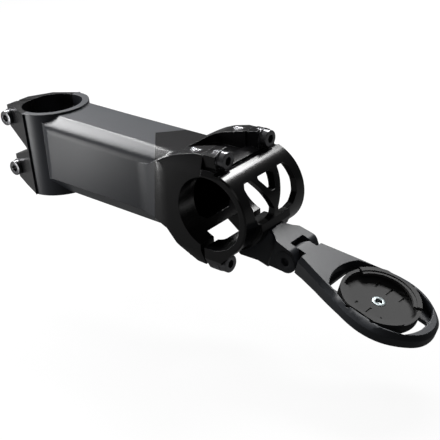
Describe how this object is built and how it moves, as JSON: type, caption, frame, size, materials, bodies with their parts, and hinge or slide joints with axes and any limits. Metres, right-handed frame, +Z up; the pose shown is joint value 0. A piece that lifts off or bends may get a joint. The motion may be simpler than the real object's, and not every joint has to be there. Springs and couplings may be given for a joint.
{
  "type": "handlebar stem with computer mount",
  "caption": "Bicycle handlebar stem with a skeleton faceplate and a tilting out-front mount whose ring holds a quarter-turn bayonet insert for a computer.",
  "frame": {"origin": "centre of the steerer clamp bore, halfway up the clamp", "axes": "+X forward towards the handlebar and mount, +Y to the rider's left, +Z up along the steerer tube"},
  "size_m": [0.2249, 0.041, 0.0683],
  "materials": {
    "stem_finish": "satin graphite at the steerer end, gloss black at the handlebar end",
    "faceplate_finish": "gloss black",
    "mount_finish": "fine matt anodised dark grey",
    "insert_resin": "moulded, fine grain",
    "silver_screw": "bright zinc plated",
    "washer_resin": "smooth",
    "black_hardware": "black oxide"
  },
  "bodies": {
    "stem": {"steerer_bolt_lower": "black_hardware", "steerer_bolt_upper": "black_hardware", "steerer_washer_lower": "black_hardware", "steerer_washer_upper": "black_hardware", "stem_body": "stem_finish"},
    "faceplate_unit": {"faceplate": "faceplate_finish", "faceplate_bolt_lower_left": "black_hardware", "faceplate_bolt_lower_right": "black_hardware", "faceplate_bolt_upper_left": "black_hardware", "faceplate_bolt_upper_right": "black_hardware", "faceplate_washer_lower_left": "black_hardware", "faceplate_washer_lower_right": "black_hardware", "faceplate_washer_upper_left": "black_hardware", "faceplate_washer_upper_right": "black_hardware", "mount_bracket": "mount_finish", "bracket_screw_front": "black_hardware", "bracket_screw_rear": "black_hardware", "hinge_screw": "black_hardware", "hinge_nut": "silver_screw", "hinge_washer_left": "washer_resin", "hinge_washer_right": "washer_resin"},
    "head": {"mount_head": "mount_finish", "quarter_turn_insert": "insert_resin", "insert_screw": "silver_screw", "insert_nut": "silver_screw"}
  },
  "joints": [
    {"name": "faceplate_release", "type": "slide", "parent": "stem", "child": "faceplate_unit", "axis": [0.9986, 0, -0.0523], "range_m": [0, 0.04]},
    {"name": "head_tilt", "type": "hinge", "parent": "faceplate_unit", "child": "head", "pos_m": [0.13784, 0, -0.02528], "axis": [0, -1, 0], "range_deg": [-20, 20]}
  ]
}
